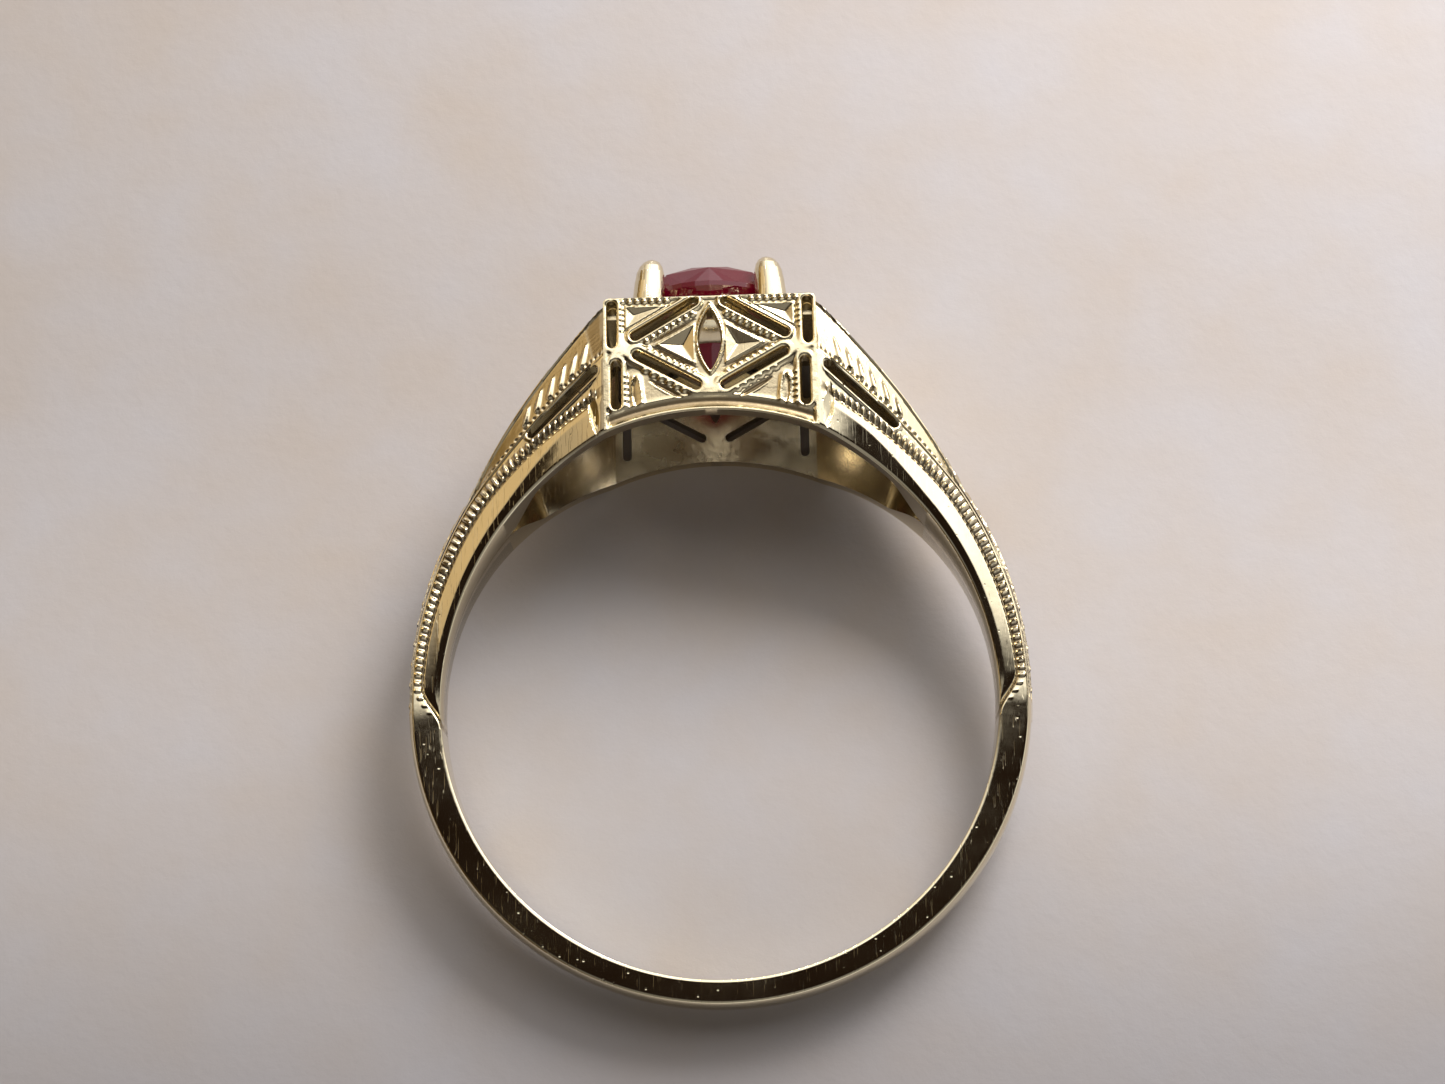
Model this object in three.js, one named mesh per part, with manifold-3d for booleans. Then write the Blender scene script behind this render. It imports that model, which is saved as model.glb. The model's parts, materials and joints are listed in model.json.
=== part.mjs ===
// Filigree engagement ring with one round ruby, as the pieces that a goldsmith solders and sets.
// Units are millimetres. The finger goes through along Z, +Y points out through the stone, and
// the origin is the middle of the finger hole. The ring lies on its back flank, as on a bench.
import * as THREE from 'three';
import { mergeVertices } from 'three/addons/utils/BufferGeometryUtils.js';
import Module from 'manifold-3d';

const wasm = await Module();
wasm.setup();

// ---- driving dimensions ----
const FINGER_RADIUS = 8.5;       // the finger hole, US size 6 1/2
const SEAM_ANGLE = 95;           // degrees from the stone to where the plain shank is soldered in
const SHANK_HALF_WIDTH = 0.8;    // along the finger
const SHANK_SIDE_RADIUS = 9.55;  // outside of the plain shank at its seams
const SHANK_BASE_RADIUS = 9.32;  // outside of the plain shank at the bottom of the ring
const SHANK_FLANK_SHARE = 0.8;   // of its thickness, before the outside rounds over

const HEAD_HALF_LENGTH = 3.3;    // head, across the finger
const HEAD_HALF_DEPTH = 3.05;    // head, along the finger
const HEAD_TOP = 12.2;           // top plate above the middle of the finger hole
const WALL = 0.6;                // thickness of the die-struck walls
const PLATE_THICKNESS = 0.5;

const SHOULDER_ANGLE = 50;       // where the straight shoulder runs into the round of the shank
const EDGE_START = 10.4;         // height on the head's corner where the shoulder's edge starts
const FACET_RUN = 0.4;           // how far each engraved side facet leans inwards
const PIERCED_WIDTH = 0.29;      // width of the pierced slots
const RAIL_SLOT = [3.62, 9.9, 5.6, 8.22];
const GALLERY_SLOTS = [
  [2.3, 10.95, 0.5, 12.02],      // upper side of the diamond
  [2.25, 10.33, 0.45, 9.31],     // lower side of the diamond
  [3.02, 10.72, 3.02, 11.95],    // upright by the corner, upper
  [2.9, 8.75, 2.9, 10.02],       // upright by the corner, lower
];
const WINDOW_LOW = 9.78;         // the pointed window in the middle of each gallery
const WINDOW_HIGH = 11.82;
const WINDOW_BULGE = 0.72;       // twice its greatest half-width

const STONE_RADIUS = 2.28;
const TABLE_RADIUS = 1.5;
const TABLE_TOP = 13.78;
const GIRDLE_TOP = 12.95;
const GIRDLE_BOTTOM = 12.82;
const CULET = 10.4;
const SEAT_TOP = 12.35;
const SEAT_BOTTOM = 11.35;
const PRONG_RADIUS = 0.39;
const PRONG_CIRCLE = 2.64;       // from the stone's middle to the middle of each prong
const PRONG_TOP = 13.88;
const PRONG_FLARE = 1.15;        // a prong's foot is this much wider than its body
const GAP = 0.02;                // solder film and setting clearance between the pieces
const SEAM_GAP = 0.15;           // degrees of solder at the shank's seams

// ---- materials ----
const whiteGold = new THREE.MeshStandardMaterial({ color: 0xd9d2bd, roughness: 0.16, metalness: 1 });
const chasedGold = new THREE.MeshStandardMaterial({ color: 0xcdc4a6, roughness: 0.3, metalness: 1 });
const rubyRed = new THREE.MeshStandardMaterial({ color: 0x6e142d, roughness: 0.05, metalness: 0 });

const ring = new THREE.Group();

function addPiece(name, geometry, material) {
  const mesh = new THREE.Mesh(geometry, material);
  mesh.name = name;
  ring.add(mesh);
}

// ---- helpers for solids ----
const radians = THREE.MathUtils.degToRad;
const mix = THREE.MathUtils.lerp;
const around = (radius, degrees) =>
  new THREE.Vector2(radius * Math.sin(radians(degrees)), radius * Math.cos(radians(degrees)));

function toManifold(geometry) {
  const bare = geometry.clone();
  bare.deleteAttribute('normal');
  bare.deleteAttribute('uv');
  const merged = mergeVertices(bare, 1e-4);
  const mesh = new wasm.Mesh({
    numProp: 3,
    vertProperties: new Float32Array(merged.attributes.position.array),
    triVerts: new Uint32Array(merged.index.array),
  });
  return new wasm.Manifold(mesh);
}

function fromManifold(solid) {
  const { vertProperties, triVerts } = solid.getMesh();
  const geometry = new THREE.BufferGeometry();
  geometry.setAttribute('position', new THREE.BufferAttribute(vertProperties, 3));
  geometry.setIndex(new THREE.BufferAttribute(triVerts, 1));
  return geometry;
}

function slab(shape, depth, curveSegments) {
  return new THREE.ExtrudeGeometry(shape, { depth, bevelEnabled: false, curveSegments });
}

function cut(geometry, cutters) {
  const rest = cutters.reduce((solid, cutter) => solid.subtract(toManifold(cutter)), toManifold(geometry));
  return fromManifold(rest);
}

// A closed skin over a row of sections, from the head down one side of the ring. Each section
// lists its corners in the same order.
function loft(sections) {
  const flat = sections[0].map((point) => new THREE.Vector2(point.z, Math.hypot(point.x, point.y)));
  const clockwise = THREE.ShapeUtils.isClockWise(flat);
  const rows = clockwise ? sections.map((section) => [...section].reverse()) : sections;
  if (clockwise) flat.reverse();
  const corners = flat.length;
  const index = [];
  for (let row = 0; row < rows.length - 1; row += 1) {
    for (let corner = 0; corner < corners; corner += 1) {
      const a = row * corners + corner;
      const b = row * corners + ((corner + 1) % corners);
      index.push(a, b + corners, b, a, a + corners, b + corners);
    }
  }
  const last = (rows.length - 1) * corners;
  for (const [a, b, c] of THREE.ShapeUtils.triangulateShape(flat, [])) {
    index.push(a, b, c, last + a, last + c, last + b);
  }
  const geometry = new THREE.BufferGeometry();
  const positions = rows.flat().flatMap((point) => [point.x, point.y, point.z]);
  geometry.setAttribute('position', new THREE.Float32BufferAttribute(positions, 3));
  geometry.setIndex(index);
  return geometry;
}

// The same solid on the other side of the plane through the origin.
function mirrored(geometry, x, z) {
  const copy = geometry.clone();
  copy.scale(x, 1, z);
  if (x * z < 0) {
    const { array } = copy.index;
    for (let i = 0; i < array.length; i += 3) [array[i], array[i + 1]] = [array[i + 1], array[i]];
  }
  return copy;
}

// ---- the ring's outline ----
// Half of the ring's width along the finger, at a distance x to the side of the stone. It tapers
// in a straight line from the head's corner and runs smoothly into the shank.
function halfWidth(x) {
  const slope = (HEAD_HALF_DEPTH - SHANK_HALF_WIDTH) / (FINGER_RADIUS - HEAD_HALF_LENGTH);
  const rise = slope * (FINGER_RADIUS - x);
  const blend = 0.12;
  return SHANK_HALF_WIDTH + (rise + Math.hypot(rise, blend)) / 2;
}

// One line from the head's corner down the side of the ring to the seam: a flat curve down the
// shoulder, then an arc whose radius eases from the shoulder's to the seam's. The curve arrives
// at the arc with a slope of arrival degrees, from a bend that lies run back along that slope.
function sideLine(headHeight, shoulderRadius, seamRadius, run, arrival) {
  const end = around(shoulderRadius, SHOULDER_ANGLE);
  const slope = new THREE.Vector2(-Math.cos(radians(arrival)), Math.sin(radians(arrival)));
  const bend = end.clone().addScaledVector(slope, run);
  const curve = new THREE.QuadraticBezierCurve(new THREE.Vector2(HEAD_HALF_LENGTH, headHeight), bend, end);
  return (t) => {
    if (t < 0.5) return curve.getPoint(2 * t);
    const share = 2 * t - 1;
    const eased = Math.sin((share * Math.PI) / 2);
    return around(mix(shoulderRadius, seamRadius, eased), mix(SHOULDER_ANGLE, SEAM_ANGLE, share));
  };
}

const edgeLine = sideLine(EDGE_START, 9.85, 9.38, 3.3, SHOULDER_ANGLE);   // foot of the engraved facets
const facetLine = sideLine(HEAD_TOP - 0.05, 10.0, 9.48, 3.1, 64);         // top of the engraved facets
const ridgeLine = sideLine(HEAD_TOP, 10.25, 9.58, 3.2, 65);               // ridge along the middle
const cornerAngle = THREE.MathUtils.radToDeg(Math.asin(HEAD_HALF_LENGTH / FINGER_RADIUS));
const fingerLine = (t) => around(
  FINGER_RADIUS,
  t < 0.5 ? mix(cornerAngle, SHOULDER_ANGLE, 2 * t) : mix(SHOULDER_ANGLE, SEAM_ANGLE, 2 * t - 1),
);
const STATIONS = 24;
const alongSide = Array.from({ length: STATIONS + 1 }, (_, i) => i / STATIONS);
const at = (point, z) => new THREE.Vector3(point.x, point.y, z);

// ---- lower shank ----
// A plain half hoop with flat flanks and a rounded outside, soldered in at both seams.
function lowerShank() {
  const sections = [];
  const start = SEAM_ANGLE + SEAM_GAP;
  const steps = 36;
  for (let i = 0; i <= steps; i += 1) {
    const angle = mix(start, 360 - start, i / steps);
    const side = Math.abs(180 - angle) / (180 - SEAM_ANGLE);
    const outside = mix(SHANK_BASE_RADIUS, SHANK_SIDE_RADIUS, side * side);
    const flank = mix(FINGER_RADIUS, outside, SHANK_FLANK_SHARE);
    const [domeWidth, domeRadius] = [SHANK_HALF_WIDTH * 0.6, mix(flank, outside, 0.75)];
    const profile = [
      [-SHANK_HALF_WIDTH, FINGER_RADIUS], [SHANK_HALF_WIDTH, FINGER_RADIUS], [SHANK_HALF_WIDTH, flank],
      [domeWidth, domeRadius], [0, outside], [-domeWidth, domeRadius], [-SHANK_HALF_WIDTH, flank],
    ];
    sections.push(profile.map(([z, radius]) => at(around(radius, angle), z)));
  }
  return loft(sections);
}

// ---- side rails ----
// One quarter of the ring's flank, from the head's corner to the seam, pierced by one long slot.
function sideRail() {
  const sections = alongSide.map((t) => {
    const inside = fingerLine(t);
    const outside = edgeLine(t);
    const solid = THREE.MathUtils.smoothstep(t, 0.3, 0.5);
    const inner = (x) => mix(halfWidth(x) - WALL, GAP / 2, solid);
    return [
      at(inside, inner(inside.x)),
      at(inside, halfWidth(inside.x)),
      at(outside, halfWidth(outside.x)),
      at(outside, inner(outside.x)),
    ];
  });
  return cut(loft(sections), [slotCutter(RAIL_SLOT, 1, 0, HEAD_HALF_DEPTH + 1)]);
}

// A round-ended slot from one point to another, cut through along Z, on the side given as 1 or -1.
function slotCutter([startX, startY, endX, endY], side, zLow, zHigh) {
  const start = new THREE.Vector2(side * startX, startY);
  const direction = new THREE.Vector2(side * endX, endY).sub(start);
  const radius = PIERCED_WIDTH / 2;
  const shape = new THREE.Shape();
  shape.absarc(0, 0, radius, Math.PI / 2, -Math.PI / 2 + 2 * Math.PI, false);
  shape.absarc(direction.length(), 0, radius, -Math.PI / 2, Math.PI / 2, false);
  const geometry = slab(shape, zHigh - zLow, 5);
  geometry.rotateZ(direction.angle());
  geometry.translate(start.x, start.y, zLow);
  return geometry;
}

// ---- shoulders ----
// The engraved outside of one side of the ring: two leaning facets and a low ridge, hollow behind
// where it meets the head and solid where it runs into the shank.
function shoulder() {
  const sections = alongSide.map((t) => {
    const [edge, facet, ridge] = [edgeLine(t), facetLine(t), ridgeLine(t)];
    for (const point of [edge, facet, ridge]) point.x += GAP;
    const outward = edge.clone().normalize();
    edge.addScaledVector(outward, GAP);
    const foot = halfWidth(edge.x);
    const brow = foot - mix(FACET_RUN, 0.25, t);
    const solid = THREE.MathUtils.smoothstep(t, 0.2, 0.45);
    const hollow = facet.clone().addScaledVector(facet.clone().sub(edge).normalize(), -PLATE_THICKNESS);
    const under = t > 0.45 ? edge.clone() : hollow.lerp(edge, solid);
    const legFoot = foot - mix(WALL, 0.3, solid);
    const legTop = brow - mix(PLATE_THICKNESS, 0.35, solid);
    return [
      at(edge, foot), at(facet, brow), at(ridge, 0), at(facet, -brow), at(edge, -foot),
      at(edge, -legFoot), at(under, -legTop), at(under, legTop), at(edge, legFoot),
    ];
  });
  return loft(sections);
}

// ---- galleries ----
// The pierced front wall of the head: a diamond of four slots round a pointed window, and an
// upright slot above and below the middle of each corner.
function gallery() {
  const half = HEAD_HALF_LENGTH - GAP;
  const wall = new THREE.Shape();
  wall.moveTo(half, HEAD_TOP);
  wall.lineTo(-half, HEAD_TOP);
  const foot = Math.acos(half / FINGER_RADIUS);
  wall.lineTo(-half, FINGER_RADIUS * Math.sin(foot));
  wall.absarc(0, 0, FINGER_RADIUS, Math.PI - foot, foot, true);
  const panel = slab(wall, WALL, 14);
  panel.translate(0, 0, HEAD_HALF_DEPTH - WALL);

  const low = HEAD_HALF_DEPTH - WALL - 0.5;
  const high = HEAD_HALF_DEPTH + 0.5;
  const cutters = [windowCutter(low, high)];
  for (const slot of GALLERY_SLOTS) {
    for (const side of [-1, 1]) cutters.push(slotCutter(slot, side, low, high));
  }
  return cut(panel, cutters);
}

function windowCutter(zLow, zHigh) {
  const shape = new THREE.Shape();
  const middle = (WINDOW_LOW + WINDOW_HIGH) / 2;
  shape.moveTo(0, WINDOW_LOW);
  shape.quadraticCurveTo(WINDOW_BULGE, middle, 0, WINDOW_HIGH);
  shape.quadraticCurveTo(-WINDOW_BULGE, middle, 0, WINDOW_LOW);
  const geometry = slab(shape, zHigh - zLow, 6);
  geometry.translate(0, 0, zLow);
  return geometry;
}

// ---- top plate ----
// The flat top of the head between the galleries, bored for the stone's seat.
function topPlate() {
  const halfLength = HEAD_HALF_LENGTH - GAP;
  const halfDepth = HEAD_HALF_DEPTH - WALL - GAP;
  const shape = new THREE.Shape();
  shape.moveTo(-halfLength, -halfDepth);
  shape.lineTo(halfLength, -halfDepth);
  shape.lineTo(halfLength, halfDepth);
  shape.lineTo(-halfLength, halfDepth);
  const bore = new THREE.Path();
  bore.absarc(0, 0, STONE_RADIUS, 0, 2 * Math.PI, false);
  shape.holes.push(bore);
  const geometry = slab(shape, PLATE_THICKNESS, 20);
  geometry.rotateX(-Math.PI / 2);
  geometry.translate(0, HEAD_TOP - PLATE_THICKNESS, 0);
  return geometry;
}

// ---- setting ----
function turned(profile, segments) {
  return new THREE.LatheGeometry(profile.map(([radius, y]) => new THREE.Vector2(radius, y)), segments);
}

const pavilionRadius = (y) => (STONE_RADIUS * (y - CULET)) / (GIRDLE_BOTTOM - CULET);

function stone(clearance) {
  return turned([
    [0, CULET - clearance],
    [STONE_RADIUS + clearance, GIRDLE_BOTTOM - clearance],
    [STONE_RADIUS + clearance, GIRDLE_TOP + clearance],
    [TABLE_RADIUS + clearance, TABLE_TOP + clearance],
    [0, TABLE_TOP + clearance],
  ], 32);
}

function stoneSeat() {
  const outside = STONE_RADIUS - GAP - 0.02;
  const clear = (y) => pavilionRadius(y) + 0.06;
  const neck = HEAD_TOP - PLATE_THICKNESS;
  return turned([
    [clear(SEAT_BOTTOM), SEAT_BOTTOM],
    [clear(SEAT_BOTTOM) + 0.3, SEAT_BOTTOM],
    [outside, neck],
    [outside, SEAT_TOP],
    [clear(SEAT_TOP), SEAT_TOP],
    [clear(SEAT_BOTTOM), SEAT_BOTTOM],
  ], 40);
}

// A claw that stands on the top plate, notched where it grips the stone's girdle.
function prong(turn) {
  const round = PRONG_TOP - PRONG_RADIUS;
  const tip = [30, 60].map((degrees) => [
    PRONG_RADIUS * Math.cos(radians(degrees)),
    round + PRONG_RADIUS * Math.sin(radians(degrees)),
  ]);
  const foot = HEAD_TOP + GAP;
  const side = [[0, foot], [PRONG_RADIUS * PRONG_FLARE, foot], [PRONG_RADIUS, round]];
  const claw = turned([...side, ...tip, [0, PRONG_TOP]], 14);
  const angle = radians(turn);
  claw.translate(PRONG_CIRCLE * Math.sin(angle), 0, PRONG_CIRCLE * Math.cos(angle));
  return cut(claw, [stone(GAP)]);
}

// ---- assembly ----
addPiece('lower_shank', lowerShank(), whiteGold);

const frontGallery = gallery();
addPiece('front_gallery', frontGallery, chasedGold);
addPiece('back_gallery', mirrored(frontGallery, 1, -1), chasedGold);

const rail = sideRail();
addPiece('front_right_rail', rail, whiteGold);
addPiece('front_left_rail', mirrored(rail, -1, 1), whiteGold);
addPiece('back_right_rail', mirrored(rail, 1, -1), whiteGold);
addPiece('back_left_rail', mirrored(rail, -1, -1), whiteGold);

const rightShoulder = shoulder();
addPiece('right_shoulder', rightShoulder, chasedGold);
addPiece('left_shoulder', mirrored(rightShoulder, -1, 1), chasedGold);

addPiece('top_plate', topPlate(), whiteGold);
addPiece('stone_seat', stoneSeat(), whiteGold);
const prongTurns = { front_right: 45, back_right: 135, back_left: 225, front_left: 315 };
for (const [corner, turn] of Object.entries(prongTurns)) {
  addPiece(`${corner}_prong`, prong(turn), whiteGold);
}
addPiece('ruby', stone(0), rubyRed);

export default ring;
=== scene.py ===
# %% [markdown]
# # A filigree engagement ring
#
# This lesson dresses a small ring that is already built as sixteen plain solids: a lower shank,
# two galleries, four side rails, two shoulders, a top plate, a stone seat, four prongs and a ruby.
# A goldsmith of the 1920s struck such walls from sheet in a steel die, pierced them with a saw,
# soldered them together and finished them by hand with a graver and a beading wheel. Each step
# below copies one of those jobs. The solids are loaded first, and nothing is ever moved from
# where they are.

# %% Load the solids
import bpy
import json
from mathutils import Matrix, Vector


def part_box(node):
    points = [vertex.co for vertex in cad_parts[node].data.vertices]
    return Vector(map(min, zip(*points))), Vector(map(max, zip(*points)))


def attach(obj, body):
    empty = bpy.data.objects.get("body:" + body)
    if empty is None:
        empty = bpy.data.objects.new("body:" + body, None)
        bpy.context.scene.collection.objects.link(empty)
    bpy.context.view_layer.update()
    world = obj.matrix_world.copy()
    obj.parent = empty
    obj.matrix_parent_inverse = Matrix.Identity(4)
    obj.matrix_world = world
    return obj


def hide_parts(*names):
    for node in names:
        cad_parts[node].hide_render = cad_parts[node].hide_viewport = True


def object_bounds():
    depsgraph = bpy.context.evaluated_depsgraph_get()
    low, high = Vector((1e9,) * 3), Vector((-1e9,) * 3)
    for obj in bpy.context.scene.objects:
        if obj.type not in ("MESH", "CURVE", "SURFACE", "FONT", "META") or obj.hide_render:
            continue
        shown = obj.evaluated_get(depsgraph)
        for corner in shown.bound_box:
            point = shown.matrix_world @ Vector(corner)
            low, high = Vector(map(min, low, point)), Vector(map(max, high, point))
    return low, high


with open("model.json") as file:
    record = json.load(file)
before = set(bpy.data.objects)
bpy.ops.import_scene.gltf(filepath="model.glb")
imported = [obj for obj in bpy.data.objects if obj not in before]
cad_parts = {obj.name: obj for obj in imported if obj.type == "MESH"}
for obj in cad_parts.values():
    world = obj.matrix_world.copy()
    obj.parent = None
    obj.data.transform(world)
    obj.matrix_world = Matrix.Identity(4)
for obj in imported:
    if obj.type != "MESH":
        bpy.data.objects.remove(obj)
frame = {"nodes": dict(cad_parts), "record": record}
cad_low, cad_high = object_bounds()
print("solids:", sorted(frame["nodes"]))

# %% Tools
import json
import math

import bmesh
import bpy
import numpy as np
from mathutils import Matrix, Vector

MM = 0.001
scene = bpy.context.scene


def span(node):
    """The lowest and highest corner of a solid, in millimetres."""
    low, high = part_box(node)
    return low / MM, high / MM


# %% [markdown]
# ## Sizes from the solids
#
# Every length below is in millimetres and comes from the solids' boxes. The finger goes through
# along Z, and the stone points along +Y.

# %% Read the sizes
mounts = {mount["name"]: mount for mount in frame["record"]["mounts"]}
FINGER = mounts["finger_hole"]["dims"]["r_mm"]
gallery_low, gallery_high = span("front_gallery")
HEAD_X, HEAD_TOP, FACE = gallery_high
WALL = FACE - gallery_low.z
shank_low, shank_high = span("lower_shank")
SHANK_Z = shank_high.z
SHANK_BASE = -shank_low.y
SHANK_SIDE = shank_high.x / math.sin(math.acos(shank_high.y / FINGER))
SEAM = math.degrees(math.acos(shank_high.y / FINGER))
plate_low, plate_high = span("top_plate")
stone_low, stone_high = span("ruby")
STONE = stone_high.x
print(f"finger hole {2 * FINGER:.1f} mm, head {2 * HEAD_X:.2f} x {2 * FACE:.2f} mm")
print(f"seam at {SEAM:.1f} degrees from the stone")

# %% [markdown]
# ## The outline of the side walls
#
# The plan of the ring narrows in a straight line from the head's corners and runs smoothly into
# the shank. Seen from the front, three lines run down each side: the foot of the engraved facet,
# its brow, and the ridge in the middle. All are the same kind of line: a flat curve down the
# shoulder, then an arc that eases into the shank.

# %% Outline
SHOULDER = 50.0      # degrees from the stone to where the shoulder runs into the round
FOOT_START = 10.4    # height on the head's corner where the foot of the facet starts
TAPER_BEND = 0.12    # how softly the taper runs into the shank's even width


def smooth(low, high, x):
    """0 below low, 1 above high, and an even slope between."""
    share = np.clip((x - low) / (high - low), 0.0, 1.0)
    return share * share * (3.0 - 2.0 * share)


def around(radius, degrees):
    """A point on a circle round the finger hole, the angle counted from the stone."""
    angle = np.radians(degrees)
    return np.stack([radius * np.sin(angle), radius * np.cos(angle)], axis=-1)


def half_width(x):
    """Half of the ring's width along the finger, at a distance x to the side of the stone."""
    slope = (FACE - SHANK_Z) / (FINGER - HEAD_X)
    rise = slope * (FINGER - x)
    return SHANK_Z + (rise + np.hypot(rise, TAPER_BEND)) / 2.0


def side_line(head_height, shoulder_radius, seam_radius, run, arrival):
    """A line from the head's corner (t = 0) down the side of the ring to the seam (t = 1).

    Its upper half is a curve that meets the round at a slope of arrival degrees, from a bend that
    lies run back along that slope. Its lower half is an arc that eases to the seam's radius.
    """
    start = np.array([HEAD_X, head_height])
    end = around(shoulder_radius, SHOULDER)
    angle = math.radians(arrival)
    bend = end + run * np.array([-math.cos(angle), math.sin(angle)])

    def point(t):
        s = np.clip(2.0 * t, 0.0, 1.0)[..., None]
        upper = (1 - s) ** 2 * start + 2 * s * (1 - s) * bend + s**2 * end
        share = np.clip(2.0 * t - 1.0, 0.0, 1.0)
        radius = shoulder_radius + (seam_radius - shoulder_radius) * np.sin(share * math.pi / 2)
        lower = around(radius, SHOULDER + (SEAM - SHOULDER) * share)
        return np.where((t < 0.5)[..., None], upper, lower)

    return point


foot_line = side_line(FOOT_START, 9.85, 9.38, 3.3, SHOULDER)
brow_line = side_line(HEAD_TOP - 0.05, 10.0, 9.48, 3.1, 64)
ridge_line = side_line(HEAD_TOP, 10.25, 9.58, 3.2, 65)


def finger_line(t):
    """The rim of the finger hole beside the same lines."""
    corner = math.degrees(math.asin(HEAD_X / FINGER))
    upper = corner + (SHOULDER - corner) * np.clip(2.0 * t, 0.0, 1.0)
    lower = SHOULDER + (SEAM - SHOULDER) * np.clip(2.0 * t - 1.0, 0.0, 1.0)
    return around(FINGER, np.where(t < 0.5, upper, lower))


print("foot of the facet at the seam:", foot_line(np.array([1.0]))[0].round(2))

# %% [markdown]
# ## A sheet that can be struck and pierced
#
# Chased metal is a sheet with a picture in its height. So each wall starts as a fine flat grid,
# the drawing board, with two coordinates of its own. The saw comes first: faces inside a slot
# are deleted, and the ragged edge is pulled onto the slot's outline. Then the sheet is extruded
# once, which gives it its back and the walls of its slots, and both sides are carried from the
# drawing board to their place on the ring. The height goes with the front side.

# %% Sheet helpers
def finish_piece(name, bm, material, slot, *nodes):
    """Turn a bmesh, in millimetres, into a piece of the ring that replaces its plain solids."""
    bmesh.ops.scale(bm, vec=(MM, MM, MM), verts=bm.verts)
    mesh = bpy.data.meshes.new(name)
    bm.to_mesh(mesh)
    bm.free()
    piece = bpy.data.objects.new(name, mesh)
    scene.collection.objects.link(piece)
    mesh.materials.append(material)
    mesh.shade_smooth()
    mesh.set_sharp_from_angle(angle=math.radians(45))
    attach(piece, "root")
    if nodes:
        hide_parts(*nodes)
    print(f"{name}: {len(mesh.polygons)} faces")
    return piece


def pull_to_edge(verts, distance, reach, step=1e-4):
    """Move the ragged edge of a sawn slot onto its outline."""
    for _ in range(3):
        points = np.array([v.co[:2] for v in verts])
        gap = distance(points)
        slope_x = (distance(points + [step, 0]) - gap) / step
        slope_y = (distance(points + [0, step]) - gap) / step
        steep = np.maximum(slope_x**2 + slope_y**2, 1e-9)
        for vert, gap_here, sx, sy, square in zip(verts, gap, slope_x, slope_y, steep):
            if abs(gap_here) < reach:
                vert.co.x -= gap_here * sx / square
                vert.co.y -= gap_here * sy / square


def struck_sheet(columns, rows, front, back, distance=None, reach=0.08):
    """A closed sheet: a grid of u and v, sawn where distance is negative, then put in place."""
    bm = bmesh.new()
    bmesh.ops.create_grid(bm, x_segments=columns, y_segments=rows, size=0.5)
    bmesh.ops.translate(bm, vec=(0.5, 0.5, 0), verts=bm.verts)
    if distance:
        outer = {v for v in bm.verts if v.is_boundary}
        centres = np.array([face.calc_center_median()[:2] for face in bm.faces])
        inside = distance(centres) < 0
        gone = [face for face, cut in zip(bm.faces, inside) if cut]
        bmesh.ops.delete(bm, geom=gone, context="FACES")
        ragged = [v for v in bm.verts if v.is_boundary and v not in outer]
        pull_to_edge(ragged, distance, reach)
    made = bmesh.ops.extrude_face_region(bm, geom=bm.faces[:])
    for item in made["geom"]:
        if isinstance(item, bmesh.types.BMVert):
            item.co.z = 1.0
    flat = np.array([v.co for v in bm.verts])
    u, v, upper = flat[:, 0], flat[:, 1], flat[:, 2] > 0.5
    front_place, tarnish = front(u, v)
    places = np.where(upper[:, None], front_place, back(u, v))
    # Front points carry the tarnish of their hollows. Back points carry a fixed 0.3 of the tarnish colour:
    # painted shade on the inside of the head and shoulders, which fades up the walls of the slots and
    # edges.
    tarnish_and_shade = bm.verts.layers.float.new("tarnish_and_shade")
    for vert, place, tarnish_and_shade_share in zip(bm.verts, places, np.where(upper, tarnish, 0.3)):
        vert.co = place
        vert[tarnish_and_shade] = tarnish_and_shade_share
    bmesh.ops.recalc_face_normals(bm, faces=bm.faces)
    return bm


def lift(surface, u, v, height, step=1e-3):
    """Carry the drawing board's points onto a surface and raise them along its normal."""
    middle = surface(u, v)
    along = surface(np.clip(u + step, 0, 1), v) - surface(np.clip(u - step, 0, 1), v)
    across = surface(u, np.clip(v + step, 0, 1)) - surface(u, np.clip(v - step, 0, 1))
    normal = np.cross(across, along)
    normal /= np.linalg.norm(normal, axis=1, keepdims=True) + 1e-12
    return middle + normal * height[:, None]


# %% [markdown]
# ## The engraver's marks
#
# Everything on the walls is made of a few marks: the rounded rim left beside a pierced slot, the
# row of small beads that a milgrain wheel rolls, the boat-shaped bright cut of a flat graver, and
# the sunken three-sided pyramid of the die. Each is a small height function in millimetres.

# %% Marks
CORNER = 0.3   # the soldered corners of the head are rounded over this distance
WEAR = 0.028   # a century on a finger has rubbed every edge this round


def off_segment(points, start, end):
    """How far along and beside the line from start to end each point lies, and the line's length."""
    start, end = np.asarray(start, float), np.asarray(end, float)
    length = np.linalg.norm(end - start)
    along_line = (end - start) / length
    offset = points - start
    return offset @ along_line, offset @ np.array([-along_line[1], along_line[0]]), length


def slot_edge(points, start, end, radius):
    """Distance outside a round-ended slot."""
    along, beside, length = off_segment(points, start, end)
    return np.hypot(along - np.clip(along, 0, length), beside) - radius


def dome(share):
    """A round bump: 1 in its middle, 0 where share reaches 1 or more."""
    return np.sqrt(np.clip(1 - share**2, 0, 1))


def rim(distance, width):
    """A rounded rim of this width beside a slot: 1 on its crown, 0 beside it."""
    return dome((distance - width / 2) / (width / 2))


def bead_row(points, start, end, count, length, fill=0.42):
    """A row of beads as long as `length` across the row: 1 on each crown, 0 between them."""
    along, beside, whole = off_segment(points, start, end)
    pitch = whole / count
    place = np.clip(np.floor(along / pitch), 0, count - 1) * pitch + pitch / 2
    return dome(np.hypot((along - place) / (fill * pitch), 2 * beside / length))


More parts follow.
